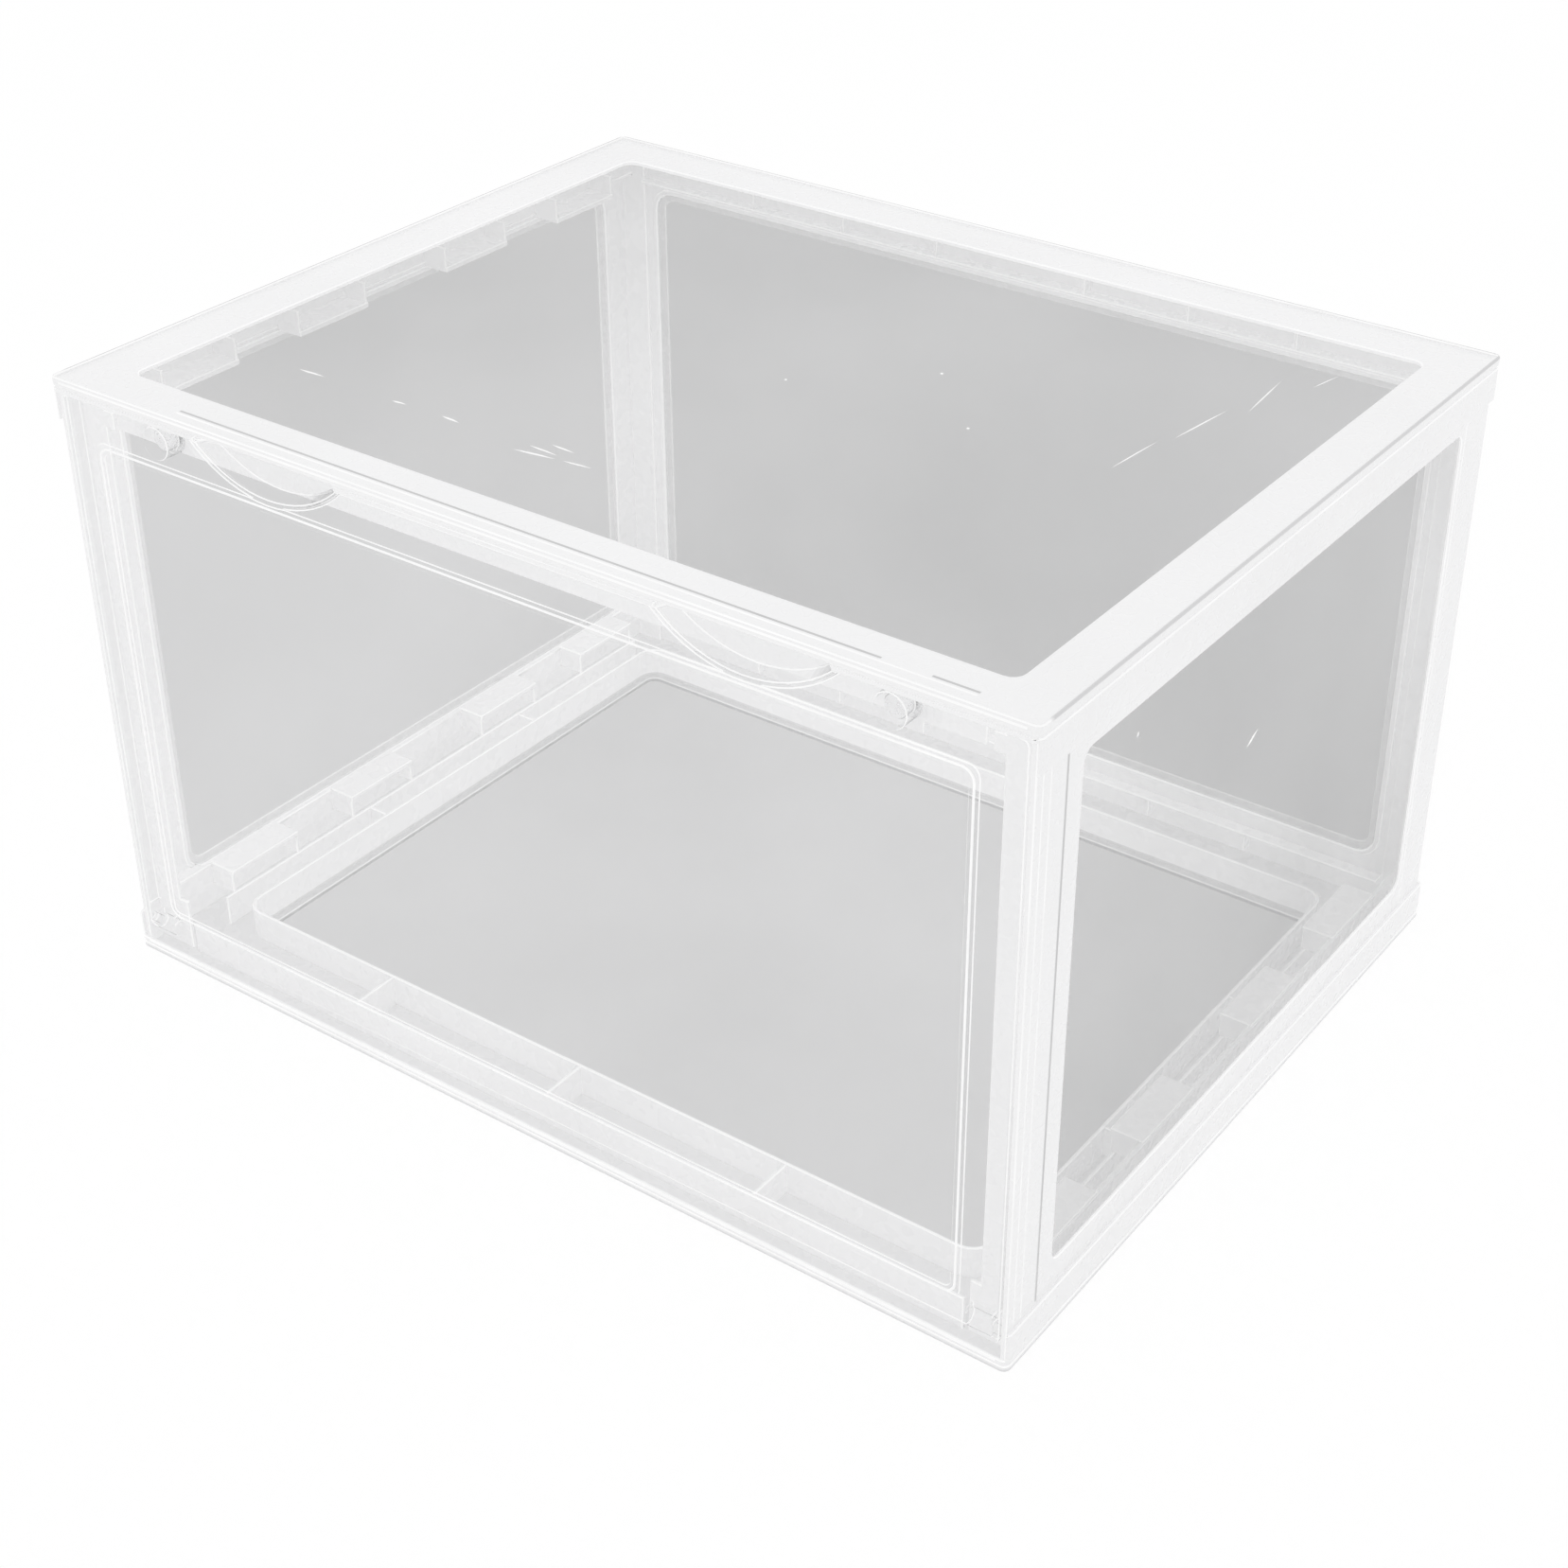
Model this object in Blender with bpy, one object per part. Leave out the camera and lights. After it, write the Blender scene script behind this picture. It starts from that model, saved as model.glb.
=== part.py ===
"""Clear stackable shoe storage box with a drop front that two magnets hold shut.

A top and a bottom frame, two side frames and a back frame, each with a clear
window sheet, carry a clear one-piece door. The door turns on two pins at its
lower corners. Metres, +Z up, front towards -Y, origin under the middle of the
box on the surface that it stands on.
"""

import math

import bmesh
import bpy
from mathutils import Matrix, Vector

# Whole box
BOX_WIDTH = 0.360
BOX_DEPTH = 0.281
BOX_HEIGHT = 0.2185
OUTER_CORNER_RADIUS = 0.0025
SEAT_GAP = 0.0003
OVERRUN = 0.002
OVERLAP = 0.0004
CORNER_STEPS = 4
ROUND_STEPS = 32
SCOOP_STEPS = 72
SMOOTH_ANGLE = math.radians(40.0)
PARALLEL_SHARE = 0.5

# Skirts, webs and grooves of the top and bottom frames
SKIRT_WALL = 0.0012
SKIRT_HEIGHT = 0.015
FRONT_SKIRT_HEIGHT = 0.0053
GROOVE_DEPTH = 0.0005
GROOVE_HEIGHT = 0.0008
GROOVE_FROM_END = 0.0035
RIM_HEIGHT = 0.001
TOP_WEB_THICKNESS = 0.0015
TOP_WEB_WIDTH = 0.018
BOTTOM_WEB_THICKNESS = 0.002
BOTTOM_WEB_WIDTH = 0.0295
FOOT_INSET = 0.0015
FOOT_HEIGHT = 0.001
WINDOW_CORNER_RADIUS = 0.004

# Walls that stand on the bottom frame
RIB_WALL = 0.0012
FLOOR_WALL_HEIGHT = 0.0137
FLOOR_WALL_INSET = 0.0255
FLOOR_WALL_CORNER_RADIUS = 0.008
SIDE_WALL_INSET = 0.0166
CHANNEL_WEB_SPACING_SHARE = 0.23
SIDE_WEB_SPACING_SHARE = 0.2972

# Lip wall of both frames and the keeper pockets in the upper one
LIP_INSET = 0.0076
LIP_END_INSET = 0.020
TOP_LIP_HEIGHT = 0.016
KEEPER_RADIUS = 0.005
KEEPER_THICKNESS = 0.0015
POCKET_WALL = 0.0013
NOTCH_RISE = 0.0017

# Side and back panels
PANEL_WALL = 0.0018
PANE_THICKNESS = 0.001
PANE_LEDGE_WIDTH = 0.003
PANE_LEDGE_THICKNESS = 0.001
PANE_RIM_WIDTH = 0.002
PANE_RIM_HEIGHT = 0.001
SIDE_WINDOW_MARGIN = 0.0205
SIDE_WINDOW_FRONT_MARGIN = 0.0256
WINDOW_BOTTOM_MARGIN = 0.024
WINDOW_TOP_MARGIN = 0.0203
BACK_WINDOW_MARGIN = 0.022

# Flanges of the side panels in front and behind
JAMB_WALL = 0.0015
JAMB_WIDTH = 0.0144
JAMB_FOOT_WIDTH = 0.018
JAMB_FOOT_HEIGHT = 0.022
JAMB_HEAD_START = 0.0108
JAMB_HEAD_HEIGHT = 0.0169
REAR_FLANGE_WIDTH = 0.014
REAR_FLANGE_WALL = 0.0014

# Rails and clip brackets of the side panels
RAIL_WIDTH = 0.0047
RAIL_HEIGHT = 0.0228
HEAD_RAIL_HEIGHT = 0.0127
RAIL_WALL_DROP = 0.0091
BRACKET_REACH = 0.0105
BRACKET_LENGTH = 0.0325
BRACKET_DROP = 0.0087
BRACKET_SHARES = (-0.340, -0.127, 0.127, 0.340)

# Stiffening shelves of the back panel
SHELF_DEPTH = 0.005
SHELF_HEIGHT = 0.0138
SHELF_WEB_HEIGHT = 0.008
SHELF_WEB_SHARES = (-0.311, -0.198, -0.085, 0.085, 0.198, 0.311)
CLIP_SLOT_SHARES = (-0.333, 0.333)
CLIP_SLOT_WIDTH = 0.012
CLIP_SLOT_HEIGHT = 0.0028
CLIP_SLOT_BOTTOM = 0.0095

# Door
DOOR_SETBACK = 0.0008
DOOR_WALL = 0.002
DOOR_BOTTOM = 0.010
DOOR_CORNER_RADIUS = 0.002
DOOR_RIM_WALL = 0.0015
BEAD_HEIGHT = 0.0004
BEAD_WIDTH = 0.0035
BEAD_SIDE_MARGIN = 0.0134
BEAD_TOP_MARGIN = 0.012
BEAD_BOTTOM_MARGIN = 0.010
BEAD_CORNER_RADIUS = 0.004

# Finger scoops of the door
SCOOP_FROM_SIDE = 0.092
SCOOP_WIDTH = 0.058
SCOOP_DROP = 0.011
SCOOP_TAPER = 0.002
SCOOP_WALL = 0.0012

# Magnets and their bosses
MAGNET_FROM_SIDE = 0.045
MAGNET_FROM_TOP = 0.0112
MAGNET_RADIUS = 0.0034
MAGNET_LENGTH = 0.0032
BOSS_RADIUS = 0.0055
BOSS_STAND = 0.0003
BOSS_RIB_COUNT = 3
BOSS_RIB_SPACING = 0.0022
BOSS_RIB_WALL = 0.0008

# Hinge
HINGE_INSET = 0.0045
HINGE_HEIGHT = 0.012
PIN_RADIUS = 0.0015
PIN_CLEARANCE = 0.0003
PIN_END_CLEARANCE = 0.0006
KNUCKLE_INSET = 0.007
KNUCKLE_LENGTH = 0.009
KNUCKLE_TOP = 0.017
SIDE_RIM_START = 0.019

# Places worked out from the sizes above
HALF_WIDTH = BOX_WIDTH / 2
HALF_DEPTH = BOX_DEPTH / 2
FRONT = -HALF_DEPTH
PANEL_INSET = SKIRT_WALL + SEAT_GAP
PANEL_INNER_INSET = PANEL_INSET + PANEL_WALL
PANEL_BOTTOM = BOTTOM_WEB_THICKNESS + SEAT_GAP
TOP_WEB_TOP = BOX_HEIGHT - RIM_HEIGHT
TOP_WEB_BOTTOM = TOP_WEB_TOP - TOP_WEB_THICKNESS
PANEL_TOP = TOP_WEB_BOTTOM - SEAT_GAP
WINDOW_BOTTOM = WINDOW_BOTTOM_MARGIN
WINDOW_TOP = BOX_HEIGHT - WINDOW_TOP_MARGIN
LIP_FRONT = FRONT + LIP_INSET
LIP_BACK = LIP_FRONT + RIB_WALL
DOOR_FRONT = FRONT + DOOR_SETBACK
DOOR_BACK = DOOR_FRONT + DOOR_WALL
DOOR_DEEPEST = LIP_FRONT - SEAT_GAP
DOOR_HALF_WIDTH = HALF_WIDTH - PANEL_INNER_INSET - SEAT_GAP
DOOR_TOP = BOX_HEIGHT - FRONT_SKIRT_HEIGHT - SEAT_GAP
HINGE_Y = FRONT + HINGE_INSET
KNUCKLE_RADIUS = DOOR_DEEPEST - HINGE_Y
MAGNET_X = HALF_WIDTH - MAGNET_FROM_SIDE
MAGNET_Z = BOX_HEIGHT - MAGNET_FROM_TOP

# Colours: milky frame plastic, clear plastic and bright steel
FRAME_COLOUR = (0.86, 0.87, 0.88, 1.0)
CLEAR_COLOUR = (0.78, 0.80, 0.81, 1.0)
STEEL_COLOUR = (0.62, 0.62, 0.63, 1.0)
FRAME_ROUGHNESS = 0.42
CLEAR_ROUGHNESS = 0.08
STEEL_ROUGHNESS = 0.28
PLASTIC_METALLIC = 0.0
STEEL_METALLIC = 1.0


def clear_scene():
    for item in list(bpy.data.objects):
        bpy.data.objects.remove(item, do_unlink=True)


def new_collection(name):
    collection = bpy.data.collections.new(name)
    bpy.context.scene.collection.children.link(collection)
    return collection


def new_material(name, colour, roughness, metallic):
    material = bpy.data.materials.new(name)
    material.use_nodes = True
    shader = material.node_tree.nodes["Principled BSDF"]
    shader.inputs["Base Color"].default_value = colour
    shader.inputs["Roughness"].default_value = roughness
    shader.inputs["Metallic"].default_value = metallic
    return material


def frame_plastic(name):
    return new_material(name, FRAME_COLOUR, FRAME_ROUGHNESS, PLASTIC_METALLIC)


def clear_plastic(name):
    return new_material(name, CLEAR_COLOUR, CLEAR_ROUGHNESS, PLASTIC_METALLIC)


def bright_steel(name):
    return new_material(name, STEEL_COLOUR, STEEL_ROUGHNESS, STEEL_METALLIC)


def new_guide(name, mesh_builder):
    """Put a bmesh into a hidden wire object that Booleans can use."""
    mesh = bpy.data.meshes.new(name)
    mesh_builder.to_mesh(mesh)
    mesh_builder.free()
    guide = bpy.data.objects.new(name, mesh)
    guide.hide_render = True
    guide.display_type = "WIRE"
    GUIDES.objects.link(guide)
    return guide


def box(name, corner, opposite):
    """A box between any two opposite corners."""
    low = Vector([min(pair) for pair in zip(corner, opposite)])
    high = Vector([max(pair) for pair in zip(corner, opposite)])
    placed = Matrix.Translation((low + high) / 2) @ Matrix.Diagonal(high - low).to_4x4()
    builder = bmesh.new()
    bmesh.ops.create_cube(builder, size=1.0, matrix=placed)
    return new_guide(name, builder)


def rounded_box(name, corner, opposite, axis, radius):
    """A box whose four edges along one axis are rounded."""
    solid = box(name, corner, opposite)
    builder = bmesh.new()
    builder.from_mesh(solid.data)
    along = [
        edge for edge in builder.edges
        if abs((edge.verts[0].co - edge.verts[1].co).normalized()[axis]) > PARALLEL_SHARE
    ]
    bmesh.ops.bevel(
        builder, geom=along, offset=radius, segments=CORNER_STEPS, profile=0.5, affect="EDGES"
    )
    builder.to_mesh(solid.data)
    builder.free()
    return solid


def round_bar(name, start, length, axis, radius, end_radius=None, steps=ROUND_STEPS):
    """A cylinder or cone from its start point along +X (axis 0) or +Y (axis 1)."""
    turn = Matrix.Rotation(math.pi / 2, 4, "Y") if axis == 0 else Matrix.Rotation(-math.pi / 2, 4, "X")
    half = Vector((length / 2, 0.0, 0.0)) if axis == 0 else Vector((0.0, length / 2, 0.0))
    builder = bmesh.new()
    bmesh.ops.create_cone(
        builder, cap_ends=True, segments=steps, radius1=radius,
        radius2=radius if end_radius is None else end_radius, depth=length,
        matrix=Matrix.Translation(Vector(start) + half) @ turn,
    )
    guide = new_guide(name, builder)
    guide.data.shade_smooth()
    guide.data.set_sharp_from_angle(angle=SMOOTH_ANGLE)
    return guide


def combine(target, operation, pieces):
    for piece in pieces:
        step = target.modifiers.new(piece.name, "BOOLEAN")
        step.operation = operation
        step.object = piece
        step.solver = "EXACT"
    return target


def join(target, *pieces):
    return combine(target, "UNION", pieces)


def cut(target, *pieces):
    return combine(target, "DIFFERENCE", pieces)


def make_part(solid, name, material):
    """Turn a guide into a visible sub-part."""
    GUIDES.objects.unlink(solid)
    PARTS.objects.link(solid)
    solid.name = name
    solid.hide_render = False
    solid.display_type = "TEXTURED"
    solid.data.materials.append(material)
    return solid


def outline_box(name, inset, bottom, top, radius):
    """A slab with the box's own outline, drawn in on all four sides."""
    low = (-HALF_WIDTH + inset, -HALF_DEPTH + inset, bottom)
    high = (HALF_WIDTH - inset, HALF_DEPTH - inset, top)
    if radius == 0.0:
        return box(name, low, high)
    return rounded_box(name, low, high, 2, radius)


def outline_ring(name, inset, width, bottom, top, radius, inner_radius):
    """A ring that follows the box's outline."""
    ring = outline_box(name, inset, bottom, top, radius)
    hole = outline_box(name + "_hole", inset + width, bottom - OVERRUN, top + OVERRUN, inner_radius)
    return cut(ring, hole)


def groove_cutter(name, middle):
    """A ring that cuts a thin line into the outside of a skirt."""
    ring = outline_box(
        name, -OVERRUN, middle - GROOVE_HEIGHT / 2, middle + GROOVE_HEIGHT / 2, 0.0
    )
    core = outline_box(
        name + "_core", GROOVE_DEPTH, middle - GROOVE_HEIGHT, middle + GROOVE_HEIGHT,
        OUTER_CORNER_RADIUS - GROOVE_DEPTH,
    )
    return cut(ring, core)


def front_skirt_cutter(name, bottom, top):
    """Clears the door's place in the front run of a skirt."""
    reach = HALF_WIDTH - SKIRT_WALL
    return box(name, (-reach, FRONT - OVERRUN, bottom), (reach, FRONT + SKIRT_WALL + OVERRUN, top))


def lip_wall(name, bottom, top):
    """The wall behind the door that the door closes against."""
    reach = HALF_WIDTH - LIP_END_INSET
    return box(name, (-reach, LIP_FRONT, bottom), (reach, LIP_BACK, top))


def build_bottom_frame():
    web_top = BOTTOM_WEB_THICKNESS
    foot_radius = OUTER_CORNER_RADIUS - FOOT_INSET
    foot = outline_box("foot", FOOT_INSET, 0.0, web_top - OVERLAP, foot_radius)
    frame = outline_box("bottom_web", 0.0, FOOT_HEIGHT, web_top, OUTER_CORNER_RADIUS)
    skirt = outline_ring(
        "bottom_skirt", 0.0, SKIRT_WALL, web_top - OVERLAP, SKIRT_HEIGHT, OUTER_CORNER_RADIUS, 0.0
    )
    window = outline_box(
        "floor_hole", BOTTOM_WEB_WIDTH, -OVERRUN, web_top + OVERRUN, WINDOW_CORNER_RADIUS
    )
    floor_wall = outline_ring(
        "floor_wall", FLOOR_WALL_INSET, RIB_WALL, web_top - OVERLAP, FLOOR_WALL_HEIGHT,
        FLOOR_WALL_CORNER_RADIUS, FLOOR_WALL_CORNER_RADIUS - RIB_WALL,
    )
    join(frame, foot, skirt)
    cut(frame, window, groove_cutter("bottom_groove", GROOVE_FROM_END),
        front_skirt_cutter("bottom_front_gap", FRONT_SKIRT_HEIGHT, SKIRT_HEIGHT + OVERRUN))
    join(frame, floor_wall, lip_wall("bottom_lip", web_top - OVERLAP, FLOOR_WALL_HEIGHT))
    join(frame, *channel_webs(web_top - OVERLAP))
    join(frame, *side_walls(web_top - OVERLAP))
    return make_part(frame, "bottom_frame", frame_plastic("bottom_frame_plastic"))


def channel_webs(bottom):
    """Plates that tie the lip wall to the floor wall behind it."""
    webs = []
    for number, place in enumerate((-1, 0, 1)):
        middle = place * CHANNEL_WEB_SPACING_SHARE * BOX_WIDTH
        webs.append(box(
            f"channel_web_{number}",
            (middle - RIB_WALL / 2, LIP_BACK - OVERLAP, bottom),
            (middle + RIB_WALL / 2, FRONT + FLOOR_WALL_INSET + OVERLAP, FLOOR_WALL_HEIGHT - OVERLAP),
        ))
    return webs


def side_walls(bottom):
    """Long walls under the side brackets, tied to the floor wall by short webs."""
    walls = []
    reach = HALF_DEPTH - FLOOR_WALL_INSET
    for side in (-1, 1):
        outer = side * (HALF_WIDTH - SIDE_WALL_INSET)
        inner = outer - side * RIB_WALL
        walls.append(box(f"side_wall_{side}", (outer, -reach, bottom), (inner, reach, FLOOR_WALL_HEIGHT)))
        tie_end = side * (HALF_WIDTH - FLOOR_WALL_INSET - OVERLAP)
        for end in (-1, 1):
            middle = end * SIDE_WEB_SPACING_SHARE * HALF_DEPTH
            walls.append(box(
                f"side_web_{side}_{end}",
                (inner + side * OVERLAP, middle - RIB_WALL / 2, bottom),
                (tie_end, middle + RIB_WALL / 2, FLOOR_WALL_HEIGHT - OVERLAP),
            ))
    return walls


def build_floor_window():
    inset = FLOOR_WALL_INSET + RIB_WALL + SEAT_GAP
    pane = outline_box(
        "floor_pane", inset, PANEL_BOTTOM, PANEL_BOTTOM + PANE_THICKNESS,
        FLOOR_WALL_CORNER_RADIUS - RIB_WALL,
    )
    return make_part(pane, "floor_window", clear_plastic("floor_window_plastic"))


def build_top_frame():
    frame = outline_ring(
        "top_web", 0.0, TOP_WEB_WIDTH, TOP_WEB_BOTTOM, TOP_WEB_TOP, OUTER_CORNER_RADIUS,
        WINDOW_CORNER_RADIUS,
    )
    skirt_bottom = BOX_HEIGHT - SKIRT_HEIGHT
    skirt = outline_ring(
        "top_skirt", 0.0, SKIRT_WALL, skirt_bottom, BOX_HEIGHT, OUTER_CORNER_RADIUS, 0.0
    )
    join(frame, skirt)
    cut(frame, groove_cutter("top_groove", BOX_HEIGHT - GROOVE_FROM_END),
        front_skirt_cutter("top_front_gap", skirt_bottom - OVERRUN, BOX_HEIGHT - FRONT_SKIRT_HEIGHT))
    for side in (-1, 1):
        cut(frame, scoop_notch(side))
    return make_part(frame, "top_frame", frame_plastic("top_frame_plastic"))


def scoop_notch(side):
    """A shallow notch in the front skirt that lets a finger into the scoop below it."""
    middle = side * (HALF_WIDTH - SCOOP_FROM_SIDE)
    bottom = BOX_HEIGHT - FRONT_SKIRT_HEIGHT
    return rounded_box(
        f"scoop_notch_{side}",
        (middle - SCOOP_WIDTH / 2, FRONT - OVERRUN, bottom - OVERRUN),
        (middle + SCOOP_WIDTH / 2, FRONT + SKIRT_WALL + OVERRUN, bottom + NOTCH_RISE), 1,
        NOTCH_RISE - OVERLAP,
    )


def build_top_lip():
    """The wall under the top web that the door shuts against, with the keeper pockets."""
    bottom = BOX_HEIGHT - TOP_LIP_HEIGHT
    lip = lip_wall("top_lip_wall", bottom, PANEL_TOP)
    for side in (-1, 1):
        pocket, recess = keeper_pocket(side, bottom)
        join(lip, pocket)
        cut(lip, recess)
    return make_part(lip, "top_lip", frame_plastic("top_lip_plastic"))


def keeper_pocket(side, bottom):
    """A thick spot in the lip wall with a round seat for the steel keeper."""
    seat_radius = KEEPER_RADIUS + SEAT_GAP
    seat_depth = SEAT_GAP + KEEPER_THICKNESS + SEAT_GAP
    reach = seat_radius + POCKET_WALL
    pocket = box(
        f"pocket_{side}",
        (side * MAGNET_X - reach, LIP_FRONT, bottom + OVERLAP),
        (side * MAGNET_X + reach, LIP_FRONT + seat_depth + POCKET_WALL, PANEL_TOP - OVERLAP),
    )
    recess = round_bar(
        f"pocket_recess_{side}", (side * MAGNET_X, LIP_FRONT - OVERRUN, MAGNET_Z),
        seat_depth + OVERRUN, 1, seat_radius,
    )
    return pocket, recess


def build_keeper(side, name):
    disc = round_bar(
        name, (side * MAGNET_X, LIP_FRONT + SEAT_GAP, MAGNET_Z), KEEPER_THICKNESS, 1, KEEPER_RADIUS
    )
    return make_part(disc, name, bright_steel(name + "_steel"))


def build_top_window():
    inset = TOP_WEB_WIDTH - PANE_LEDGE_WIDTH - PANE_RIM_WIDTH
    pane = outline_box(
        "top_pane", inset, PANEL_TOP - PANE_THICKNESS, PANEL_TOP, WINDOW_CORNER_RADIUS
    )
    return make_part(pane, "top_window", clear_plastic("top_window_plastic"))


def panel_point(side, depth_in, along, height):
    """A point of a side panel, from its distance in from the outer face of the box."""
    return (side * (HALF_WIDTH - depth_in), along, height)


def side_slab(side, name, insets, alongs, heights, radius=0.0):
    """A slab of a side panel, given its spans inward, front to back and upward."""
    corner = panel_point(side, insets[0], alongs[0], heights[0])
    opposite = panel_point(side, insets[1], alongs[1], heights[1])
    if radius == 0.0:
        return box(name, corner, opposite)
    return rounded_box(name, corner, opposite, 0, radius)


def widened(span, margin):
    return (span[0] - margin, span[1] + margin)


def build_side_frame(side, name):
    run = (FRONT + PANEL_INSET, HALF_DEPTH - PANEL_INSET)
    height = (PANEL_BOTTOM, PANEL_TOP)
    frame = side_slab(side, name + "_panel", (PANEL_INSET, PANEL_INNER_INSET), run, height)
    opening_run = (FRONT + SIDE_WINDOW_FRONT_MARGIN, HALF_DEPTH - SIDE_WINDOW_MARGIN)
    opening_height = (WINDOW_BOTTOM, WINDOW_TOP)
    seat_start = PANEL_INSET + PANE_LEDGE_THICKNESS
    rim_end = PANEL_INNER_INSET + PANE_RIM_HEIGHT
    rim_margin = PANE_LEDGE_WIDTH + PANE_RIM_WIDTH
    rim = side_slab(
        side, name + "_rim", (PANEL_INNER_INSET - OVERLAP, rim_end),
        widened(opening_run, rim_margin), widened(opening_height, rim_margin),
        WINDOW_CORNER_RADIUS + rim_margin,
    )
    seat = side_slab(
        side, name + "_seat", (seat_start, rim_end + OVERRUN),
        widened(opening_run, PANE_LEDGE_WIDTH), widened(opening_height, PANE_LEDGE_WIDTH),
        WINDOW_CORNER_RADIUS + PANE_LEDGE_WIDTH,
    )
    opening = side_slab(
        side, name + "_opening", (0.0, rim_end + OVERRUN), opening_run, opening_height,
        WINDOW_CORNER_RADIUS,
    )
    join(frame, rim)
    join(frame, *side_flanges(side, name))
    for upward in (True, False):
        join(frame, *rail(side, name, upward))
        join(frame, *brackets(side, name, upward))
    cut(frame, seat, opening, pin_hole(side, name))
    return make_part(frame, name, frame_plastic(name + "_plastic"))


def side_flanges(side, name):
    """The jamb that the door closes against, its wider ends and the flange behind."""
    start = PANEL_INNER_INSET - OVERLAP
    jamb_run = (LIP_FRONT, LIP_FRONT + JAMB_WALL)
    rear_face = HALF_DEPTH - PANEL_INNER_INSET - SEAT_GAP
    rear_run = (rear_face - REAR_FLANGE_WALL, rear_face)
    height = (PANEL_BOTTOM, PANEL_TOP)
    foot_height = (PANEL_BOTTOM, JAMB_FOOT_HEIGHT)
    head_height = (BOX_HEIGHT - JAMB_HEAD_HEIGHT, BOX_HEIGHT - JAMB_HEAD_START)
    return (
        side_slab(side, name + "_jamb", (start, JAMB_WIDTH), jamb_run, height),
        side_slab(side, name + "_jamb_foot", (start, JAMB_FOOT_WIDTH), jamb_run, foot_height),
        side_slab(side, name + "_jamb_head", (start, JAMB_FOOT_WIDTH), jamb_run, head_height),
        side_slab(side, name + "_rear_flange", (start, REAR_FLANGE_WIDTH), rear_run, height),
    )


def level(height, upward):
    """A height above the foot, or the same distance below the top."""
    return height if upward else BOX_HEIGHT - height


def rail_height(upward):
    """How far the rail reaches in from the foot, or from the head, where it is shallower."""
    return RAIL_HEIGHT if upward else HEAD_RAIL_HEIGHT


def rail(side, name, upward):
    """An open channel along the foot or the head of a side panel."""
    tag = f"{name}_rail_{upward}"
    run = (LIP_FRONT + JAMB_WALL - OVERLAP, HALF_DEPTH - PANEL_INNER_INSET - SEAT_GAP - OVERLAP)
    outer = PANEL_INNER_INSET - OVERLAP
    inner = PANEL_INNER_INSET + RAIL_WIDTH
    height = rail_height(upward)
    roof = (level(height, upward), level(height - RIB_WALL, upward))
    wall = (level(height - OVERLAP, upward), level(height - RAIL_WALL_DROP, upward))
    return (
        side_slab(side, tag + "_roof", (outer, inner), run, roof),
        side_slab(side, tag + "_wall", (inner - RIB_WALL, inner - OVERLAP), run, wall),
    )


def brackets(side, name, upward):
    """Four hollow clips, each a roof on two end walls, open towards the inside."""
    pieces = []
    start = PANEL_INNER_INSET + RAIL_WIDTH - RIB_WALL
    reach = PANEL_INNER_INSET + RAIL_WIDTH + BRACKET_REACH
    height = rail_height(upward)
    roof = (level(height + OVERLAP, upward), level(height - RIB_WALL - OVERLAP, upward))
    wall = (level(height, upward), level(height - BRACKET_DROP, upward))
    for number, share in enumerate(BRACKET_SHARES):
        middle = share * BOX_DEPTH
        tag = f"{name}_bracket_{upward}_{number}"
        ends = (middle - BRACKET_LENGTH / 2, middle + BRACKET_LENGTH / 2)
        pieces.append(side_slab(side, tag + "_roof", (start, reach), ends, roof))
        for end, inward in zip(ends, (1, -1)):
            wall_run = (end, end + inward * RIB_WALL)
            label = f"{tag}_end_{inward}"
            pieces.append(side_slab(side, label, (start, reach - OVERLAP), wall_run, wall))
    return pieces


def pin_hole(side, name):
    """The hole that the door's pin turns in, hidden behind the skirt."""
    start = min(side * HALF_WIDTH, side * (HALF_WIDTH - PANEL_INNER_INSET - OVERLAP))
    return round_bar(
        name + "_pin_hole", (start, HINGE_Y, HINGE_HEIGHT), PANEL_INNER_INSET + OVERLAP, 0,
        PIN_RADIUS + PIN_CLEARANCE,
    )


def build_side_window(side, name):
    inset = PANEL_INSET + PANE_LEDGE_THICKNESS + SEAT_GAP
    margin = PANE_LEDGE_WIDTH - SEAT_GAP
    pane = side_slab(
        side, name, (inset, inset + PANE_THICKNESS),
        widened((FRONT + SIDE_WINDOW_FRONT_MARGIN, HALF_DEPTH - SIDE_WINDOW_MARGIN), margin),
        widened((WINDOW_BOTTOM, WINDOW_TOP), margin),
        WINDOW_CORNER_RADIUS + margin,
    )
    return make_part(pane, name, clear_plastic(name + "_plastic"))


def back_slab(name, reach, insets, heights, radius=0.0):
    """A slab of the back panel, given its half width, its inward span and its heights."""
    corner = (-reach, HALF_DEPTH - insets[0], heights[0])
    opposite = (reach, HALF_DEPTH - insets[1], heights[1])
    if radius == 0.0:
        return box(name, corner, opposite)
    return rounded_box(name, corner, opposite, 1, radius)


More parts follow.
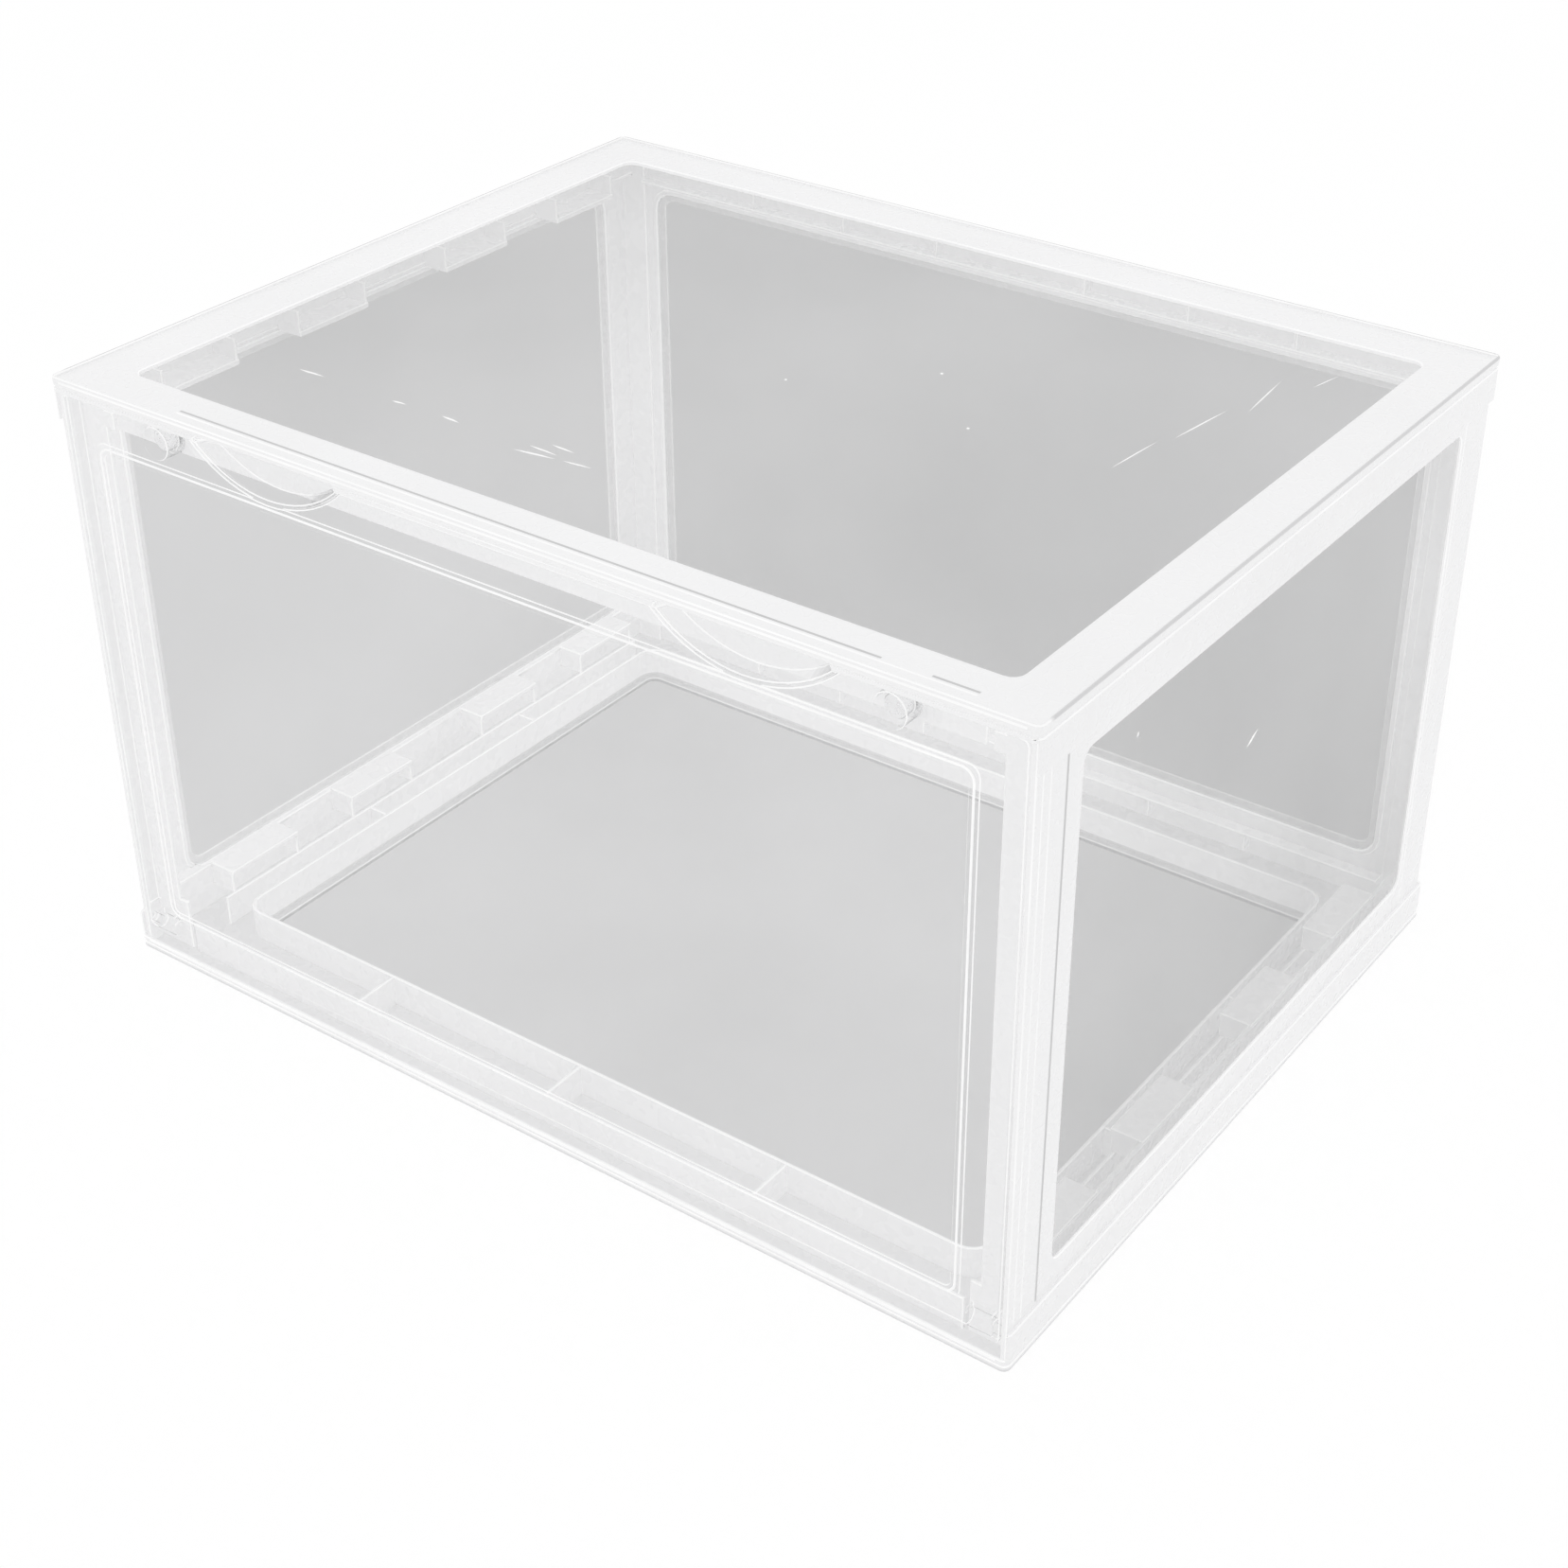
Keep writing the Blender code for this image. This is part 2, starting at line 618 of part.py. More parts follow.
def build_back_frame():
    reach = HALF_WIDTH - PANEL_INNER_INSET - SEAT_GAP
    frame = back_slab("back_panel", reach, (PANEL_INSET, PANEL_INNER_INSET), (PANEL_BOTTOM, PANEL_TOP))
    opening_reach = HALF_WIDTH - BACK_WINDOW_MARGIN
    opening_height = (WINDOW_BOTTOM, WINDOW_TOP)
    rim_end = PANEL_INNER_INSET + PANE_RIM_HEIGHT
    rim_margin = PANE_LEDGE_WIDTH + PANE_RIM_WIDTH
    rim = back_slab(
        "back_rim", opening_reach + rim_margin, (PANEL_INNER_INSET - OVERLAP, rim_end),
        widened(opening_height, rim_margin), WINDOW_CORNER_RADIUS + rim_margin,
    )
    seat = back_slab(
        "back_seat", opening_reach + PANE_LEDGE_WIDTH,
        (PANEL_INSET + PANE_LEDGE_THICKNESS, rim_end + OVERRUN),
        widened(opening_height, PANE_LEDGE_WIDTH), WINDOW_CORNER_RADIUS + PANE_LEDGE_WIDTH,
    )
    opening = back_slab(
        "back_opening", opening_reach, (0.0, rim_end + OVERRUN), opening_height,
        WINDOW_CORNER_RADIUS,
    )
    join(frame, rim)
    for upward in (True, False):
        join(frame, *shelf(upward))
    cut(frame, seat, opening, *clip_slots())
    return make_part(frame, "back_frame", frame_plastic("back_frame_plastic"))


def shelf(upward):
    """A stiffening shelf across the back panel with webs towards the window's side."""
    reach = HALF_WIDTH - REAR_FLANGE_WIDTH - SEAT_GAP - SEAT_GAP
    insets = (PANEL_INNER_INSET - OVERLAP, PANEL_INNER_INSET + SHELF_DEPTH)
    heights = (level(SHELF_HEIGHT, upward), level(SHELF_HEIGHT - RIB_WALL, upward))
    pieces = [back_slab(f"shelf_{upward}", reach, insets, heights)]
    web_heights = (level(SHELF_HEIGHT - OVERLAP, upward), level(SHELF_HEIGHT - SHELF_WEB_HEIGHT, upward))
    for number, share in enumerate(SHELF_WEB_SHARES):
        middle = share * BOX_WIDTH
        pieces.append(box(
            f"shelf_web_{upward}_{number}",
            (middle - RIB_WALL / 2, HALF_DEPTH - insets[0], web_heights[0]),
            (middle + RIB_WALL / 2, HALF_DEPTH - insets[1] + OVERLAP, web_heights[1]),
        ))
    return pieces


def clip_slots():
    """Two slots through the foot of the back panel, where it snaps to the bottom frame."""
    slots = []
    inner_end = HALF_DEPTH - PANEL_INNER_INSET - OVERRUN
    top = CLIP_SLOT_BOTTOM + CLIP_SLOT_HEIGHT
    for number, share in enumerate(CLIP_SLOT_SHARES):
        middle = share * BOX_WIDTH
        slots.append(box(
            f"clip_slot_{number}",
            (middle - CLIP_SLOT_WIDTH / 2, HALF_DEPTH, CLIP_SLOT_BOTTOM),
            (middle + CLIP_SLOT_WIDTH / 2, inner_end, top),
        ))
    return slots


def build_back_window():
    inset = PANEL_INSET + PANE_LEDGE_THICKNESS + SEAT_GAP
    margin = PANE_LEDGE_WIDTH - SEAT_GAP
    pane = back_slab(
        "back_pane", HALF_WIDTH - BACK_WINDOW_MARGIN + margin, (inset, inset + PANE_THICKNESS),
        widened((WINDOW_BOTTOM, WINDOW_TOP), margin), WINDOW_CORNER_RADIUS + margin,
    )
    return make_part(pane, "back_window", clear_plastic("back_window_plastic"))


def build_door():
    """The clear door: plate, bead, rim, magnet bosses and hinge knuckles."""
    reach = DOOR_HALF_WIDTH
    door = rounded_box(
        "door_plate", (-reach, DOOR_FRONT, DOOR_BOTTOM), (reach, DOOR_BACK, DOOR_TOP), 1,
        DOOR_CORNER_RADIUS,
    )
    join(door, door_bead())
    join(door, *door_rim())
    for side in (-1, 1):
        cut(door, cup_place(side))
        join(door, magnet_boss(side), *boss_ribs(side))
        cut(door, magnet_seat(side))
        join(door, *hinge_knuckle(side))
    return make_part(door, "front_door", clear_plastic("front_door_plastic"))


def door_bead():
    """The raised line round the door's middle field."""
    reach = DOOR_HALF_WIDTH - BEAD_SIDE_MARGIN
    low = DOOR_BOTTOM + BEAD_BOTTOM_MARGIN
    high = DOOR_TOP - BEAD_TOP_MARGIN
    bead = rounded_box(
        "bead", (-reach, DOOR_FRONT - BEAD_HEIGHT, low), (reach, DOOR_FRONT + OVERLAP, high), 1,
        BEAD_CORNER_RADIUS,
    )
    core = rounded_box(
        "bead_core", (-reach + BEAD_WIDTH, DOOR_FRONT - OVERRUN, low + BEAD_WIDTH),
        (reach - BEAD_WIDTH, DOOR_FRONT + OVERRUN, high - BEAD_WIDTH), 1,
        BEAD_CORNER_RADIUS - BEAD_WIDTH / 2,
    )
    return cut(bead, core)


def door_rim():
    """The rim that stiffens the door behind its top and side edges."""
    reach = DOOR_HALF_WIDTH - OVERLAP
    start = DOOR_BACK - OVERLAP
    top = box(
        "rim_top", (-reach, start, DOOR_TOP - DOOR_RIM_WALL), (reach, DOOR_DEEPEST, DOOR_TOP - OVERLAP)
    )
    sides = [
        box(
            f"rim_side_{side}", (side * reach, start, SIDE_RIM_START),
            (side * (reach - DOOR_RIM_WALL), DOOR_DEEPEST - OVERLAP, DOOR_TOP - DOOR_RIM_WALL + OVERLAP),
        )
        for side in (-1, 1)
    ]
    return (top, *sides)


def scoop_radius():
    """The radius of an arc as wide and as deep as a scoop."""
    half = SCOOP_WIDTH / 2
    return (half * half + SCOOP_DROP * SCOOP_DROP) / (2 * SCOOP_DROP)


def scoop_cone(name, side, start, end, extra):
    """The cone that a finger scoop is part of, narrower towards the back."""
    depth = DOOR_DEEPEST - DOOR_FRONT
    slope = SCOOP_TAPER / depth
    radius = scoop_radius() + extra
    middle = (side * (HALF_WIDTH - SCOOP_FROM_SIDE), start, DOOR_TOP - SCOOP_DROP + scoop_radius())
    front_radius = radius - slope * (start - DOOR_FRONT)
    back_radius = radius - slope * (end - DOOR_FRONT)
    return round_bar(name, middle, end - start, 1, front_radius, back_radius, SCOOP_STEPS)


def cup_place(side):
    """The gap in the door that a finger cup fills."""
    return scoop_cone(
        f"cup_place_{side}", side, DOOR_FRONT - OVERRUN, DOOR_DEEPEST + OVERRUN, SCOOP_WALL + SEAT_GAP
    )


def build_finger_cup(side, name):
    """A half-moon cup, open in front and on top, that a finger pulls the door by."""
    cup = scoop_cone(name, side, DOOR_FRONT, DOOR_DEEPEST, SCOOP_WALL)
    hollow = scoop_cone(
        name + "_hollow", side, DOOR_FRONT - OVERRUN, DOOR_DEEPEST - SCOOP_WALL, 0.0
    )
    above = box(
        name + "_above", (-BOX_WIDTH, DOOR_FRONT - OVERRUN, DOOR_TOP),
        (BOX_WIDTH, DOOR_DEEPEST + OVERRUN, DOOR_TOP + BOX_HEIGHT),
    )
    cut(cup, hollow, above)
    return make_part(cup, name, clear_plastic(name + "_plastic"))


def magnet_boss(side):
    start = DOOR_FRONT - BOSS_STAND
    return round_bar(
        f"boss_{side}", (side * MAGNET_X, start, MAGNET_Z), DOOR_DEEPEST - OVERLAP - start, 1,
        BOSS_RADIUS,
    )


def magnet_seat(side):
    depth = MAGNET_LENGTH + SEAT_GAP + SEAT_GAP
    return round_bar(
        f"magnet_seat_{side}", (side * MAGNET_X, DOOR_DEEPEST - depth, MAGNET_Z), depth + OVERRUN, 1,
        MAGNET_RADIUS + SEAT_GAP,
    )


def boss_ribs(side):
    """Short upright ribs beside the magnet boss, towards the door's corner."""
    ribs = []
    first = MAGNET_X + BOSS_RADIUS + BOSS_RIB_SPACING / 2
    for number in range(BOSS_RIB_COUNT):
        near = side * (first + number * BOSS_RIB_SPACING)
        far = near + side * BOSS_RIB_WALL
        ribs.append(box(
            f"boss_rib_{side}_{number}", (near, DOOR_BACK - OVERLAP, MAGNET_Z - BOSS_RADIUS / 2),
            (far, DOOR_DEEPEST - SEAT_GAP, DOOR_TOP - DOOR_RIM_WALL + OVERLAP),
        ))
    return ribs


def hinge_knuckle(side):
    """The barrel, gusset and pin at a lower corner of the door."""
    near = HALF_WIDTH - KNUCKLE_INSET
    far = near - KNUCKLE_LENGTH
    tip = HALF_WIDTH - SKIRT_WALL - PIN_END_CLEARANCE
    barrel = round_bar(
        f"knuckle_{side}", (min(side * near, side * far), HINGE_Y, HINGE_HEIGHT), KNUCKLE_LENGTH, 0,
        KNUCKLE_RADIUS,
    )
    pin = round_bar(
        f"pin_{side}", (min(side * tip, side * (near - OVERLAP)), HINGE_Y, HINGE_HEIGHT),
        tip - near + OVERLAP, 0, PIN_RADIUS,
    )
    gusset = box(
        f"gusset_{side}", (side * (near - OVERLAP), DOOR_BACK - OVERLAP, HINGE_HEIGHT),
        (side * (far + OVERLAP), HINGE_Y + KNUCKLE_RADIUS / 2, KNUCKLE_TOP),
    )
    return barrel, gusset, pin


def build_magnet(side, name):
    start = DOOR_DEEPEST - SEAT_GAP - MAGNET_LENGTH
    disc = round_bar(name, (side * MAGNET_X, start, MAGNET_Z), MAGNET_LENGTH, 1, MAGNET_RADIUS)
    return make_part(disc, name, bright_steel(name + "_steel"))


def hang_on_hinge(pieces):
    """Parent the moving pieces to an empty that sits on the hinge axis."""
    hinge = bpy.data.objects.new("door_hinge", None)
    hinge.location = (0.0, HINGE_Y, HINGE_HEIGHT)
    PARTS.objects.link(hinge)
    for piece in pieces:
        piece.parent = hinge
        piece.matrix_parent_inverse = Matrix.Translation(hinge.location).inverted()


def build_box():
    build_bottom_frame()
    build_floor_window()
    build_top_frame()
    build_top_window()
    build_top_lip()
    for side, word in ((-1, "left"), (1, "right")):
        build_side_frame(side, f"{word}_side_frame")
        build_side_window(side, f"{word}_side_window")
        build_keeper(side, f"keeper_{word}")
    build_back_frame()
    build_back_window()
    moving = [build_door()]
    for side, word in ((-1, "left"), (1, "right")):
        moving.append(build_finger_cup(side, f"finger_cup_{word}"))
        moving.append(build_magnet(side, f"door_magnet_{word}"))
    hang_on_hinge(moving)


clear_scene()
PARTS = new_collection("shoe_storage_box")
GUIDES = new_collection("cutters_and_guides")
build_box()
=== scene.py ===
"""Studio picture of a clear, stackable shoe storage box with a drop-front door."""

import math

import bmesh
import bpy
from mathutils import Matrix, Vector


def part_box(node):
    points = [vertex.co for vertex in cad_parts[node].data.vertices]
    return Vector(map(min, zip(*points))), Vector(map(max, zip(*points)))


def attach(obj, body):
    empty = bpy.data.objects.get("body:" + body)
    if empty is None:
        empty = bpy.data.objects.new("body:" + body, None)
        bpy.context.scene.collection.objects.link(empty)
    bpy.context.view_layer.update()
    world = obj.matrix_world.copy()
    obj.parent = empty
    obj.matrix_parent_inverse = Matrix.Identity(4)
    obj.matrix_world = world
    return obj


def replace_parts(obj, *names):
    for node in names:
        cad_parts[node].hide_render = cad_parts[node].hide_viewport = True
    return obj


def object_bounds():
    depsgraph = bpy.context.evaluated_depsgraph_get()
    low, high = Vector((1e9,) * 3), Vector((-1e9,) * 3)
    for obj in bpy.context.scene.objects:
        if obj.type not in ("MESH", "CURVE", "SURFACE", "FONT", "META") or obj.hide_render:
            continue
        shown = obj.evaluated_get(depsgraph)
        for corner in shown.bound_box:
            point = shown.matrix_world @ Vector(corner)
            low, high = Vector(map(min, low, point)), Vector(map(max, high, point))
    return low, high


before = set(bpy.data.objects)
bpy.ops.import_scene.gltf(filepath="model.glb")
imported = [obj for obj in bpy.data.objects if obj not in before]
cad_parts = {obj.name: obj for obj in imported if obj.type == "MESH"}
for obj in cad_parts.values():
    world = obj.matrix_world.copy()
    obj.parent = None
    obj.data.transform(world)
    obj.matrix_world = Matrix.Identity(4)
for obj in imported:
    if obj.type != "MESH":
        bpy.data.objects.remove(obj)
CAD_BOUNDS = [list(corner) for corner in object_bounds()]
X, Y, Z = range(3)

# Camera, in metres, radians and millimetres of film
CAMERA_PLACE = Vector((0.4506, -0.6136, 0.5488))
CAMERA_BACKWARD = Vector((0.48524, -0.69665, 0.52842))
CAMERA_ROLL = 0.0078
CAMERA_LENS = 60.01
CAMERA_SENSOR = 36.0
CAMERA_SHIFT = (-0.0373, -0.0197)
CAMERA_NEAR = 0.02
CAMERA_FAR = 50.0

# Floor and world, in metres
FLOOR_SIZE = 8.0
FLOOR_DROP = 0.0004
FLOOR_COLOUR = (0.95, 0.95, 0.95, 1.0)
FLOOR_ROUGHNESS = 0.9
FLOOR_GLOSS = 0.1
FLOOR_GLOW = 0.9
BACKGROUND_COLOUR = (1.0, 1.0, 1.0, 1.0)
BACKGROUND_THROUGH_BOX = (0.735, 0.735, 0.74, 1.0)
SKY_COLOUR = (1.03, 1.03, 1.03, 1.0)

# Square lamps: name, place, width in metres, power in watts
LAMP_AIM = Vector((0.0, 0.0, 0.1))
LAMPS = (
    ("key", Vector((-0.6, -1.4, 0.7)), 1.0, 0.3),
    ("fill", Vector((1.5, -0.2, 0.6)), 0.9, 0.1),
)

# What the materials share: how noise is made and stretched, and how many faces are seen through
NOISE_SPAN = (0.3, 0.7)
NOISE_ROUGHNESS = 0.55
FACING_BLEND = 0.5
SEE_THROUGH_DEPTH = 48

# Clear plastic of the sheets and the door: tints, veil seen square on and edge-on, roughness, gloss
CLEAR_IOR = 1.49
SHEET_TINTS = ((0.24, 0.24, 0.24, 1.0), (0.18, 0.18, 0.18, 1.0))
SHEET_VEIL = 0.085
BACK_VEIL = 0.12
SHEET_EDGE = 0.5
SHEET_HAZE = (0.04, 0.16)
SHEET_GLOSS = 0.5
DOOR_TINTS = ((0.3, 0.3, 0.305, 1.0), (0.25, 0.25, 0.255, 1.0))
DOOR_VEIL = 0.015
DOOR_EDGE = 0.9
DOOR_HAZE = (0.03, 0.1)
DOOR_GLOSS = 0.25
EDGE_START = 0.6
SMUDGES = (0.75, 1.25)
SMUDGE_SCALE = 6.0
SMUDGE_DETAIL = 3.0
CLEAR_CLOUD_SCALE = 9.0
HAZE_SPAN = (0.35, 0.75)
HAZE_SCALE = 60.0
HAZE_DETAIL = 2.0
WAVE_SCALE = 14.0
WAVE_STRENGTH = 0.1
WAVE_HEIGHT = 0.0004

# Milky plastic of the frames
MILK_IOR = 1.45
MILK_TINTS = ((0.875, 0.875, 0.88, 1.0), (0.85, 0.85, 0.855, 1.0))
MILK_CLOUD_SCALE = 14.0
MILK_COVER_START = 0.2
MILK_COVER = (0.88, 0.98)
MILK_GLOW_THROUGH = 0.06
MILK_ROUGHNESS = (0.22, 0.34)
MILK_FLOW_SCALE = 90.0
MILK_FLOW_STRENGTH = 0.03
MILK_FLOW_HEIGHT = 0.0002
GRAIN_SCALE = 180.0

# Painted shade along the foot and a painted dark outline, in metres
FOOT_SHADE_HEIGHTS = (0.0012, 0.0024)
FOOT_SHADE_TONE = (0.60, 0.60, 0.605, 1.0)
BOX_MIDDLE = [(low + high) / 2 for low, high in zip(*CAD_BOUNDS)]
BOX_REACH = [(high - low) / 2 for low, high in zip(*CAD_BOUNDS)]
OUTLINE_SHADE_TONE = (0.62, 0.62, 0.625, 1.0)
OUTLINE_WIDTH = 0.0009
OUTLINE_SOLID_SHARE = 0.7
OUTLINE_FRONT_END = (-0.136, -0.134)
OUTLINE_FOOT = (0.004, 0.006)

# Painted highlights on the edges and painted shade in the grooves of the mouldings
TRIM_GLOW_THROUGH = 0.1
EDGE_HIGHLIGHT_TINTS = ((0.97, 0.97, 0.97, 1.0), (0.93, 0.93, 0.93, 1.0))
EDGE_CLOUD_SCALE = 40.0
EDGE_ROUGHNESS = (0.16, 0.3)
GROOVE_SHADE_TINTS = ((0.56, 0.56, 0.56, 1.0), (0.52, 0.52, 0.525, 1.0))
GROOVE_CLOUD_SCALE = 60.0
GROOVE_ROUGHNESS = (0.3, 0.45)

# Plated steel of the magnets and keepers
STEEL_METALLIC = 0.5
STEEL_TINTS = ((0.90, 0.90, 0.905, 1.0), (0.96, 0.96, 0.965, 1.0))
STEEL_SMEAR_SCALE = 700.0
STEEL_SMEAR_DETAIL = 4.0
STEEL_ROUGHNESS = (0.22, 0.38)

# CAD nodes by what they are made of
FRAME_NODES = (
    "bottom_frame", "top_frame", "top_lip", "left_side_frame", "right_side_frame", "back_frame",
)
DOOR_NODES = ("front_door", "finger_cup_left", "finger_cup_right")
SHEET_NODES = ("top_window", "left_side_window", "right_side_window", "floor_window")
BACK_SHEET_NODES = ("back_window",)
STEEL_NODES = ("keeper_left", "keeper_right", "door_magnet_left", "door_magnet_right")

# Chamfers of the mouldings, in metres and radians
FRAME_CHAMFER = 0.00035
DOOR_CHAMFER = 0.00028
SHARP_ANGLE = 0.6
WELD = 0.000002
SPLIT_SNAP = 0.00002
RIBS_BY_BOSS = (0.1412, 0.1472)
RIBS_LOWEST = 0.2
RIBS_BACK_END = -0.133

# Lines drawn on the mouldings as painted highlights and painted shade: facing axis and side, axis and
# borders across, axis and ends along, index
HIGHLIGHT = 1
SHADE = 2
FRONT_RUN = (-0.176, 0.176)
POST_RUN = (0.0155, 0.2030)
POST_LINES = (
    (-0.1357, -0.1351, HIGHLIGHT),
    (-0.1318, -0.1312, HIGHLIGHT),
    (-0.1238, -0.1228, SHADE),
    (0.1219, 0.1226, HIGHLIGHT),
)
LINES = {
    "top_frame": (
        ((Y, -1), (Z, 0.2166, 0.2174), (X, *FRONT_RUN), HIGHLIGHT),
        ((Z, 1), (Y, -0.1339, -0.1330), (X, -0.1290, 0.1280), SHADE),
        ((Z, 1), (Y, -0.1339, -0.1330), (X, 0.1436, 0.1580), SHADE),
        ((Z, 1), (Y, -0.1354, -0.1347), (X, -0.1290, 0.1580), HIGHLIGHT),
    ),
    "bottom_frame": (
        ((Y, -1), (Z, 0.0093, 0.0103), (X, *FRONT_RUN), HIGHLIGHT),
        ((Y, -1), (Z, 0.0070, 0.0082), (X, *FRONT_RUN), SHADE),
        ((Y, -1), (Z, 0.0036, 0.0050), (X, *FRONT_RUN), HIGHLIGHT),
    ),
    "left_side_frame": [((X, -1), (Y, low, high), (Z, *POST_RUN), index) for low, high, index in POST_LINES],
    "right_side_frame": [((X, 1), (Y, low, high), (Z, *POST_RUN), index) for low, high, index in POST_LINES],
}

# How far out along its axis, and how square to it, a face lies that takes a line
OUTER_SHELL = (0.1780, 0.1380, 0.2170)
SQUARE_ON = 0.9

# Crown along the middle of the door's bead, coloured as a painted highlight, in metres; its profile in
# shares of half width and height
CROWN_FACE = -0.1401
CROWN_STAND = 0.00028
CROWN_HALF_WIDTH = 0.0004
CROWN_PROFILE = ((-1.0, 0.0), (1.0, 0.0), (0.8, 0.7), (0.3, 1.0), (-0.3, 1.0), (-0.8, 0.7))
CROWN_HALF_RUN = 0.16125
CROWN_HEIGHTS = (0.02175, 0.19915)
CROWN_CORNER = 0.004
CROWN_STEPS = 6

# Scuffs on the sheets, bright marks that are partly painted glints: start, end and width in metres; their
# outline in shares of length and half width
MARK_STAND = 0.00006
MARK_OUTLINE = ((0.0, 0.0), (0.35, -0.9), (0.7, -0.6), (1.0, 0.0), (0.6, 1.0), (0.3, 0.8))
TOP_SCUFFS_AND_GLINTS = (
    ((-0.1252, -0.0872), (-0.1152, -0.0868), 0.0010),
    ((-0.0852, -0.0876), (-0.0800, -0.0872), 0.0009),
    ((-0.0652, -0.0870), (-0.0580, -0.0876), 0.0010),
    ((-0.0322, -0.0920), (-0.0182, -0.0900), 0.0010),
    ((-0.0300, -0.0872), (-0.0192, -0.0878), 0.0008),
    ((-0.0250, -0.0830), (-0.0160, -0.0836), 0.0008),
    ((-0.0150, -0.0896), (-0.0052, -0.0886), 0.0008),
    ((0.0398, 0.0282), (0.0406, 0.0292), 0.0013),
    ((0.0686, -0.0012), (0.0694, -0.0004), 0.0013),
    ((0.0028, -0.0042), (0.0036, -0.0036), 0.0012),
    ((0.1178, 0.0010), (0.1198, 0.0240), 0.0005),
    ((0.1230, 0.0300), (0.1262, 0.0560), 0.0006),
    ((0.1320, 0.0600), (0.1296, 0.0860), 0.0005),
    ((0.1400, 0.0880), (0.1424, 0.1000), 0.0004),
)
RIGHT_SCUFFS_AND_GLINTS = (
    ((-0.0152, 0.1490), (-0.0090, 0.1521), 0.0012),
    ((-0.0846, 0.1870), (-0.0838, 0.1884), 0.0010),
)


def add_node(tree, kind, **settings):
    node = tree.nodes.new(kind)
    for name, value in settings.items():
        setattr(node, name, value)
    return node


def new_material(name):
    material = bpy.data.materials.new(name)
    material.use_nodes = True
    return material, material.node_tree, material.node_tree.nodes["Principled BSDF"]


def object_coordinates(tree):
    return add_node(tree, "ShaderNodeTexCoord").outputs["Object"]


def place_parts(tree, place):
    parts = add_node(tree, "ShaderNodeSeparateXYZ")
    tree.links.new(place, parts.inputs[0])
    return parts.outputs


def noise(tree, place, scale, detail=1.0):
    node = add_node(tree, "ShaderNodeTexNoise")
    node.inputs["Scale"].default_value = scale
    node.inputs["Detail"].default_value = detail
    node.inputs["Roughness"].default_value = NOISE_ROUGHNESS
    tree.links.new(place, node.inputs["Vector"])
    return node.outputs["Fac"]


def ranged(tree, value, low, high, to_low, to_high):
    node = add_node(tree, "ShaderNodeMapRange")
    node.inputs["From Min"].default_value = low
    node.inputs["From Max"].default_value = high
    node.inputs["To Min"].default_value = to_low
    node.inputs["To Max"].default_value = to_high
    tree.links.new(value, node.inputs["Value"])
    return node.outputs["Result"]


def clouds(tree, place, scale):
    """Soft noise from 0 to 1."""
    return ranged(tree, noise(tree, place, scale), *NOISE_SPAN, 0.0, 1.0)


def bump(tree, height, strength, distance):
    node = add_node(tree, "ShaderNodeBump")
    node.inputs["Strength"].default_value = strength
    node.inputs["Distance"].default_value = distance
    tree.links.new(height, node.inputs["Height"])
    return node.outputs["Normal"]


def maths(tree, operation, first, second):
    node = add_node(tree, "ShaderNodeMath", operation=operation)
    tree.links.new(first, node.inputs[0])
    tree.links.new(second, node.inputs[1])
    return node.outputs[0]


def colour_mix(tree, factor, low, high):
    node = add_node(tree, "ShaderNodeMix", data_type="RGBA")
    node.inputs["A"].default_value = low
    node.inputs["B"].default_value = high
    tree.links.new(factor, node.inputs["Factor"])
    return node.outputs["Result"]


def blended(tree, factor, colour, other):
    """A linked colour that turns into a fixed one as the factor grows."""
    node = add_node(tree, "ShaderNodeMix", data_type="RGBA")
    node.inputs["B"].default_value = other
    tree.links.new(factor, node.inputs["Factor"])
    tree.links.new(colour, node.inputs["A"])
    return node.outputs["Result"]


def facing(tree):
    """0 where a surface is seen square on, 1 where it is seen edge-on."""
    slant = add_node(tree, "ShaderNodeLayerWeight")
    slant.inputs["Blend"].default_value = FACING_BLEND
    return slant.outputs["Facing"]


def looked_at(tree, otherwise=0.0):
    """1 for what is looked at, less for rays that only carry light, to lamps or on from a dull surface."""
    path = add_node(tree, "ShaderNodeLightPath")
    lighting = maths(tree, "ADD", path.outputs["Is Shadow Ray"], path.outputs["Diffuse Depth"])
    return ranged(tree, lighting, 0.0, 1.0, 1.0, otherwise)


def outline(tree, place):
    """Mask of the painted dark outline: 1 along the box's outer edges behind the front and round its foot, 0
    elsewhere.
    """
    offset = add_node(tree, "ShaderNodeVectorMath", operation="SUBTRACT")
    offset.inputs[1].default_value = BOX_MIDDLE
    tree.links.new(place, offset.inputs[0])
    distance = add_node(tree, "ShaderNodeVectorMath", operation="ABSOLUTE")
    tree.links.new(offset.outputs["Vector"], distance.inputs[0])
    near = []
    for part, reach in zip(place_parts(tree, distance.outputs["Vector"]), BOX_REACH):
        solid = reach - OUTLINE_WIDTH * OUTLINE_SOLID_SHARE
        near.append(ranged(tree, part, reach - OUTLINE_WIDTH, solid, 0.0, 1.0))
    total = maths(tree, "ADD", maths(tree, "ADD", near[0], near[1]), near[2])
    on_edge = ranged(tree, total, 1.0, 2.0, 0.0, 1.0)
    parts = place_parts(tree, place)
    behind = ranged(tree, parts["Y"], *OUTLINE_FRONT_END, 0.0, 1.0)
    low = ranged(tree, parts["Z"], *OUTLINE_FOOT, 1.0, 0.0)
    return maths(tree, "MULTIPLY", on_edge, maths(tree, "MAXIMUM", behind, low))


